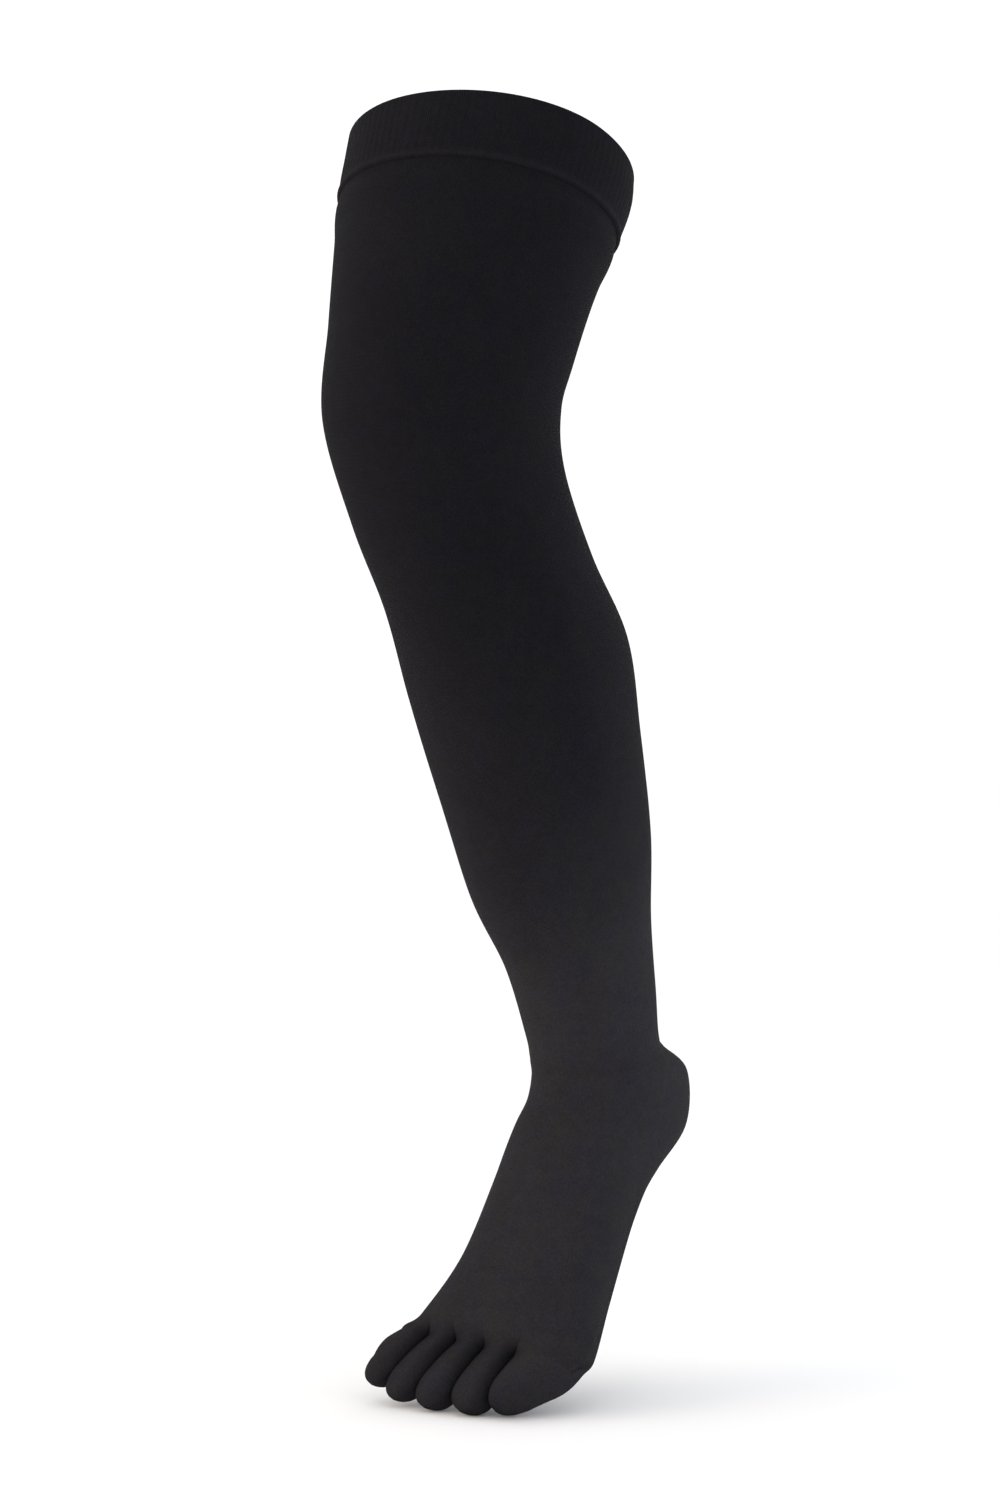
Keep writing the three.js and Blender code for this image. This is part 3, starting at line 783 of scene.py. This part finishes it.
@dataclass(frozen=True)
class KnitFinish:
    """Matte black yarn in jersey stitch, paler where the cloth is stretched over the leg and where
    painted light falls on it.
    """

    name: str
    slot: str
    loose_and_shaded: tuple[float, float, float] = (0.0068, 0.0065, 0.0086)
    taut_and_lit: tuple[float, float, float] = (0.0246, 0.0230, 0.0262)
    stitch_depth: float = 0.00022
    groove_shade: float = 0.30
    heather: float = 0.90
    mottle: float = 0.32
    cast: float = 0.4
    roughness: float = 0.92
    sheen: float = 0.010
    fuzz_scale: float = 900.0
    tuft_scale: float = 170.0
    blotch_scale: float = 28.0
    cast_scale: float = 75.0
    loop_lag: float = 0.8
    loop_foot: float = 0.45
    fuzz_relief: float = 0.5
    warm_red: float = 0.3
    warm_green: float = 0.2

    def make(self) -> bpy.types.Material:
        """Builds the material.

        A stitch is a V of two round legs in each wale: its height falls off as the square of the
        distance from each leg's middle, times a cosine along the courses that lags towards the
        wale's edges. Patches of the black lean a little to olive and others to blue.

        Returns:
            The material.
        """
        graph = Graph(self.name)
        stitches = graph.node("ShaderNodeUVMap", {"uv_map": UV_NAME}).outputs[0]
        split = graph.node("ShaderNodeSeparateXYZ", None, {0: stitches})
        wale, course = Value(graph, split.outputs[0]), Value(graph, split.outputs[1])
        from_middle = 2.0 * (wale.fraction() - 0.5).size()
        leg = 1.0 - (2.0 * (from_middle - 0.5)) * (2.0 * (from_middle - 0.5))
        beat = 0.5 + 0.5 * (FULL_TURN * (course + self.loop_lag * from_middle)).cosine()
        height = leg * (self.loop_foot + (1.0 - self.loop_foot) * beat)
        fuzz, tuft, blotch = (graph.grain(scale) for scale in
                              (self.fuzz_scale, self.tuft_scale, self.blotch_scale))
        relief = height + self.fuzz_relief * fuzz
        tone = graph.value("ShaderNodeAttribute", {"attribute_name": TONE_NAME}, output="Fac")
        # The tone mixes darker and paler yarn: stretched knit, plus painted light brighter from the
        # ankle down and painted shade in the toes' creases.
        yarn = graph.mix(tone, (*self.loose_and_shaded, 1.0), (*self.taut_and_lit, 1.0))
        # Painted shade in the grooves between the stitches' legs, then random heather and mottle of the
        # yarn.
        shade = (1.0 - self.groove_shade * (1.0 - height)) * (1.0 + self.heather * (fuzz - 0.5))
        shade = shade * (1.0 + self.mottle * (tuft + blotch - 1.0)) * (1.0 + 0.5 * self.groove_shade)
        warmth = self.cast * (graph.grain(self.cast_scale) - 0.5)
        dye = graph.node("ShaderNodeCombineXYZ", None, {
            0: shade * (1.0 + self.warm_red * warmth), 1: shade * (1.0 + self.warm_green * warmth),
            2: shade * (1.0 - warmth)}).outputs[0]
        colour = graph.mix(1.0, yarn, dye, "MULTIPLY")
        bump = graph.node("ShaderNodeBump", None, {"Distance": self.stitch_depth, "Height": relief})
        shader = graph.node("ShaderNodeBsdfPrincipled", None, {
            "Base Color": colour, "Roughness": self.roughness, "Specular IOR Level": 0.04,
            "Sheen Weight": self.sheen, "Sheen Roughness": 0.5, "Sheen Tint": (1.0, 0.98, 1.0, 1.0),
            "Normal": bump.outputs[0]})
        graph.node("ShaderNodeOutputMaterial", None, {0: shader.outputs[0]})
        return graph.material


# Tone down the sock: paler where the knit is stretched, plus painted light that is brighter from the
# ankle down.
STRETCH_AND_PAINTED_LIGHT_TONES = ((0, 0.05), (4, 0.03), (7, 0.05), (8, 0.12), (9, 0.20), (10, 0.46), (11, 0.85), (12, 1.0),
         (18, 0.92), (20, 0.88), (22, 0.85))


def tone_from_stretch_and_painted_light(rows: Array) -> Array:
    """Gives how pale the cloth is at row positions: paler where it is stretched, plus painted light that
    is brighter from the ankle down.
    """
    places, tones = np.array(STRETCH_AND_PAINTED_LIGHT_TONES).T
    return np.interp(rows, places, tones)[:, None]


def stitch_columns(angles: Array) -> Array:
    """Counts the wales round the sock at each angle, with a last column that closes the ring."""
    return WALES * np.hstack([angles, angles[:, :1] + FULL_TURN]) / FULL_TURN


def dress(piece: bpy.types.Object, node: str, material: bpy.types.Material) -> None:
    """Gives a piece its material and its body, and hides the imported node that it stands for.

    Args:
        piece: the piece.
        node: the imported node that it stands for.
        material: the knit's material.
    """
    piece.data.materials.append(material)
    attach(piece, BODY)
    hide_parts(node)
    LOG.info("%s: %d faces for node %s", piece.name, len(piece.data.polygons), node)


@dataclass(frozen=True)
class Cuff:
    """The ribbed band of double knit round the leg opening."""

    limb: Limb
    height: float = CUFF_HEIGHT
    thickness: float = 2.0
    ribs: int = 100
    columns_per_rib: int = 8
    rib_relief: float = 0.18
    welt_relief: float = 0.8
    welt_height: float = 5.0
    seam_tuck: float = 0.7
    welt_painted_highlight: float = 0.16
    outer_rows: int = 44
    inner_rows: int = 12
    rim_rows: int = 11
    welt_place: float = 0.45
    welt_spread: float = 0.32
    tuck_run: float = 1.2
    rib_fade: float = 3.0
    welt_cover: float = 0.6
    cover_run: float = 2.0
    normal_step: float = 0.01

    def profile(self) -> tuple[Array, Array, Array, Array]:
        """Gives the band's closed section.

        It goes down the outside over the welt, under the edge, up the inside and over the rim on a
        half circle.

        Returns:
            Lengths down, offsets outwards, the ribs' share and the welt's share.
        """
        down = np.linspace(0, self.height, self.outer_rows)
        welt_middle = self.height - self.welt_height * self.welt_place
        welt = np.exp(-((down - welt_middle) / (self.welt_spread * self.welt_height)) ** 2)
        tuck = self.seam_tuck * smooth((down - self.height + self.tuck_run) / self.tuck_run)
        covered = smooth((down - self.height + self.welt_height) / self.cover_run)
        ribbed = smooth(down / self.rib_fade) * (1 - self.welt_cover * covered)
        up = np.linspace(self.height, 0, self.inner_rows)
        bend = np.linspace(math.pi, 0, self.rim_rows)[1:-1]
        half = self.thickness / 2
        lengths = np.concatenate([down, up, -half * np.sin(bend)])
        outside = self.welt_relief * welt - tuck
        offsets = np.concatenate([outside, np.full(up.size, -self.thickness), half * (np.cos(bend) - 1)])
        plain = np.zeros(up.size + bend.size)
        return lengths, offsets, np.append(ribbed, plain), np.append(welt, plain)

    def build(self, finish: KnitFinish) -> None:
        """Carries the section round the leg opening; ribs stand out as a cosine round the band.

        Args:
            finish: the knit of the band.
        """
        lengths, offsets, ribbed, welt = self.profile()
        rows = self.limb.thigh_row(lengths)
        columns = self.ribs * self.columns_per_rib
        angles = np.tile(FULL_TURN * np.arange(columns) / columns, (rows.size, 1))
        skin = self.limb.surface(rows, angles)
        normals = unit(np.cross(self.limb.surface(rows, angles + self.normal_step) - skin,
                                self.limb.surface(rows + self.normal_step, angles) - skin))
        valley = self.rib_relief * (np.cos(self.ribs * angles) - 1) / 2 * ribbed[:, None]
        points = skin + normals * (offsets[:, None] + valley)[..., None]
        around = np.concatenate([points, points[:1]])
        # Painted highlight along the top of the welt, added to the tone.
        tone = tone_from_stretch_and_painted_light(rows) + self.welt_painted_highlight * welt[:, None]
        band = Band("cuff_knit", around, WALES * np.arange(columns + 1) / columns,
                    np.append(lengths, lengths[0]) / COURSE, np.concatenate([tone, tone[:1]]))
        dress(band.make(), "cuff", finish.make())


@dataclass
class Band:
    """A closed ring whose section closes on itself, as one grid that wraps both ways."""

    name: str
    points: Array
    wales: Array
    courses: Array
    tone: Array

    def make(self) -> bpy.types.Object:
        """Puts the ring into a mesh object; its last row repeats the first only for the stitches.

        Returns:
            The object.
        """
        rows, columns = self.points.shape[0] - 1, self.points.shape[1]
        row, column = (grid.ravel() for grid in np.mgrid[0:rows, 0:columns])
        corner_rows = np.stack([row, row, row + 1, row + 1], 1)
        corner_columns = np.stack([column, column + 1, column + 1, column], 1)
        index = (corner_rows % rows) * columns + corner_columns % columns
        stitches = np.stack([self.wales[corner_columns], self.courses[corner_rows]], -1)
        tones = np.broadcast_to(self.tone[:-1], (rows, columns))
        return knitted_piece(self.name, self.points[:-1].reshape(-1, 3), index,
                             np.arange(len(index)) * 4, np.ones(len(index), bool), stitches, tones)


@dataclass(frozen=True)
class Leg:
    """The plain-knit tube from the cuff's seam over the knee and the calf to the ankle."""

    limb: Limb
    cuff_height: float = CUFF_HEIGHT
    knit: float = KNIT
    columns: int = 216
    seam_rows: int = 22
    body_rows: int = 150
    pinch: float = 0.9
    pinch_run: float = 9.0
    swell: float = 0.7
    swell_run: float = 26.0
    seam_lap: float = 0.5

    def build(self, finish: KnitFinish) -> None:
        """Builds the tube, drawn in at its seam as a smooth step and swelling a little below it.

        Args:
            finish: the knit of the leg.
        """
        near = np.linspace(-self.seam_lap, self.swell_run, self.seam_rows)
        start = self.limb.thigh_row(np.array([self.cuff_height + self.swell_run]))[0]
        rows = np.concatenate([self.limb.thigh_row(self.cuff_height + near),
                               np.linspace(start, ANKLE, self.body_rows + 1)[1:]])
        angles = np.tile(FULL_TURN * np.arange(self.columns) / self.columns, (rows.size + 1, 1))
        extended = self.limb.surface(np.append(rows, 2 * rows[-1] - rows[-2]), angles)
        skin = extended[:-1]
        normals = outward(skin)
        drawn = np.zeros(rows.size)
        drawn[:near.size] = (self.swell * np.sin(np.pi * near / self.swell_run) ** 2
                             - self.pinch * (1 - smooth(near / self.pinch_run)))
        outer = skin + normals * drawn[:, None, None]
        shading = outward(np.concatenate([outer, extended[-1:]]), ends=False)[:-1]
        courses = self.limb.run_down(rows) / COURSE
        wales = stitch_columns(angles[:-1])
        wall = Wall("leg_knit", outer, outer - self.knit * normals, wales, courses, tone_from_stretch_and_painted_light(rows),
                    shading)
        dress(wall.make(), "leg", finish.make())


@dataclass(frozen=True)
class FootPieces:
    """The heel pocket and the foot, cut from one continuous wall."""

    foot: Foot
    knit: float = KNIT
    crease: float = 0.9
    crease_run: float = 9.0

    def build(self, heel_finish: KnitFinish, foot_finish: KnitFinish) -> None:
        """Builds the heel and the foot from the cells on either side of the heel's seam.

        Args:
            heel_finish: the knit of the heel.
            foot_finish: the knit of the foot.
        """
        positions = self.foot.rows()
        outer = self.foot.wall(positions)
        inner = outer - self.knit * outward(outer)
        before = 2 * positions[0] - positions[1]
        shading = outward(self.foot.wall(np.append(before, positions)), ends=False)[1:]
        rows, columns = outer.shape[:2]
        row, column = np.mgrid[0:rows - 1, 0:columns]
        is_heel = (row < self.foot.heel_rows) & (column >= self.foot.little_toe_corner())
        courses = self.foot.limb.run_down(positions) / COURSE
        wales = stitch_columns(self.foot.angles(positions))
        ahead = (self.foot.limb.foot_share(positions) - 1) * self.foot.limb.foot_run
        near_toes = smooth(1 + ahead / self.crease_run)[:, None]
        # Painted shade darkens the knit beside the toes' creases near the toe line, where the knit is
        # also looser.
        tone = tone_from_stretch_and_painted_light(positions) * (1 - self.crease * near_toes * self.foot.toe_row.line_shade())
        for node, cells, finish in (("heel", is_heel, heel_finish), ("foot", ~is_heel, foot_finish)):
            wall = Wall(f"{node}_knit", outer, inner, wales, courses, tone, shading, cells)
            dress(wall.make(), node, finish.make())


@dataclass(frozen=True)
class ToePockets:
    """The five closed pockets."""

    toe_row: ToeRow
    knit: float = KNIT
    rows: int = 30
    tip_rows: int = 20
    wales_per_toe: int = 36
    root_tone: float = 0.84
    tip_tone: float = 0.76
    root_crease_painted_shade: float = 0.9
    tip_crease_painted_shade: float = 0.3

    def build(self, finish: KnitFinish) -> None:
        """Builds each pocket, with painted shade beside its creases, most of all at the root.

        Args:
            finish: the knit of the pockets.
        """
        material = finish.make()
        for index in range(len(self.toe_row.toes)):
            extended, ahead, half = self.toe_row.pocket(index, self.rows, self.tip_rows)
            shading = outward(extended, ends=False)[1:]
            outer, ahead = extended[1:], ahead[1:]
            columns = outer.shape[1]
            inner = outer - self.knit * outward(outer)
            # Painted shade beside the creases to the next toes, deepest at the root; the looser knit
            # there is darker too.
            far = smooth(ahead / ahead.max())[:, None]
            depth = blend(self.root_crease_painted_shade, self.tip_crease_painted_shade, far)
            crease = depth * self.toe_row.pocket_shade(index, half[1:])
            tone = blend(self.root_tone, self.tip_tone, far) * (1 - crease)
            wales = np.tile(self.wales_per_toe * np.arange(columns + 1) / columns, (ahead.size, 1))
            wall = Wall(f"toe_{index + 1}_knit", outer, inner, wales, ahead / COURSE, tone, shading,
                        closed_tip=True)
            dress(wall.make(), f"toe_{index + 1}", material)


@dataclass(frozen=True)
class Lamp:
    """A soft square lamp; its place is counted from the sock's middle as the camera sees it."""

    name: str
    right: float
    nearer: float
    up: float
    power: float
    colour: tuple[float, float, float]
    size: float = 1.0


@dataclass(frozen=True)
class Studio:
    """The pale floor, the even light round the sock and the camera."""

    azimuth: float = 40.0
    distance: float = 1.6989
    aside: float = 0.0083
    eye_height: float = -0.3143
    lens: float = 77.0
    floor_radius: float = 30.0
    floor_height: float = -0.6661
    floor_corners: int = 96
    daylight: float = 1.10
    middle_height: float = -0.35
    lamps: tuple[Lamp, ...] = (
        Lamp("warm_left", -1.5, 0.5, 0.2, 12, (1.0, 0.82, 0.68)),
        Lamp("cool_right", 1.5, 0.2, 0.1, 5, (0.58, 0.68, 1.0)),
    )

    def directions(self) -> tuple[Vector, Vector]:
        """Gives the camera's right and its level way forward."""
        turn = math.radians(self.azimuth)
        return Vector((math.cos(turn), math.sin(turn), 0)), Vector((-math.sin(turn), math.cos(turn), 0))

    def camera(self) -> None:
        """Sets the camera level, at the photograph's height and side."""
        right, forward = self.directions()
        data = bpy.data.cameras.new("camera")
        data.lens = self.lens
        data.sensor_width = 36.0
        holder = bpy.data.objects.new("camera", data)
        holder.location = right * self.aside - forward * self.distance + Vector((0, 0, self.eye_height))
        holder.rotation_euler = (QUARTER_TURN, 0, math.radians(self.azimuth))
        bpy.context.scene.collection.objects.link(holder)
        bpy.context.scene.camera = holder

    def floor(self) -> None:
        """Lays a wide pale disc under the toes: one face within a ring of points."""
        angle = np.linspace(0, FULL_TURN, self.floor_corners, endpoint=False)
        ring = np.stack([np.cos(angle), np.sin(angle), np.zeros(angle.size)], -1) * self.floor_radius
        ring[:, 2] = self.floor_height
        mesh = bpy.data.meshes.new("floor")
        mesh.from_pydata(ring.tolist(), [], [list(range(angle.size))])
        floor = bpy.data.objects.new("floor", mesh)
        bpy.context.scene.collection.objects.link(floor)
        graph = Graph("pale_floor")
        shader = graph.node("ShaderNodeBsdfPrincipled", None, {
            "Base Color": (0.93, 0.93, 0.93, 1.0), "Roughness": 0.9, "Specular IOR Level": 0.1})
        graph.node("ShaderNodeOutputMaterial", None, {0: shader.outputs[0]})
        mesh.materials.append(graph.material)

    def hang(self, lamp: Lamp) -> None:
        """Hangs a lamp so that it faces the sock's middle.

        Args:
            lamp: the lamp to hang.
        """
        right, forward = self.directions()
        middle = Vector((0, 0, self.middle_height))
        data = bpy.data.lights.new(lamp.name, "AREA")
        data.size = lamp.size
        data.energy = lamp.power
        data.color = lamp.colour
        holder = bpy.data.objects.new(lamp.name, data)
        holder.location = middle + right * lamp.right - forward * lamp.nearer + Vector((0, 0, lamp.up))
        holder.rotation_euler = (middle - holder.location).to_track_quat("-Z", "Y").to_euler()
        bpy.context.scene.collection.objects.link(holder)

    def light(self) -> None:
        """Lights the sock evenly, a little warmer from the left and cooler from the right."""
        world = bpy.data.worlds.new("daylight")
        world.use_nodes = True
        background = world.node_tree.nodes["Background"]
        background.inputs[0].default_value = (1.0, 1.0, 1.0, 1.0)
        background.inputs[1].default_value = self.daylight
        bpy.context.scene.world = world
        for lamp in self.lamps:
            self.hang(lamp)
        bpy.context.scene.view_settings.view_transform = "Standard"

    def build(self) -> None:
        """Sets up the whole studio."""
        self.camera()
        self.floor()
        self.light()


def main() -> None:
    """Builds the sock's pieces from the opening down to the toes, then the studio."""
    logging.basicConfig(level=logging.INFO, format="%(message)s")
    limb = Limb()
    toe_row = ToeRow(limb)
    Cuff(limb).build(KnitFinish("rib_knit", "rib_knit", groove_shade=0.35))
    Leg(limb).build(KnitFinish("plain_knit", "plain_knit"))
    foot = Foot(limb, toe_row)
    FootPieces(foot).build(KnitFinish("heel_knit", "heel_knit"), KnitFinish("foot_knit", "foot_knit"))
    ToePockets(toe_row).build(KnitFinish("toe_knit", "toe_knit"))
    Studio().build()


if __name__ == "__main__":
    main()
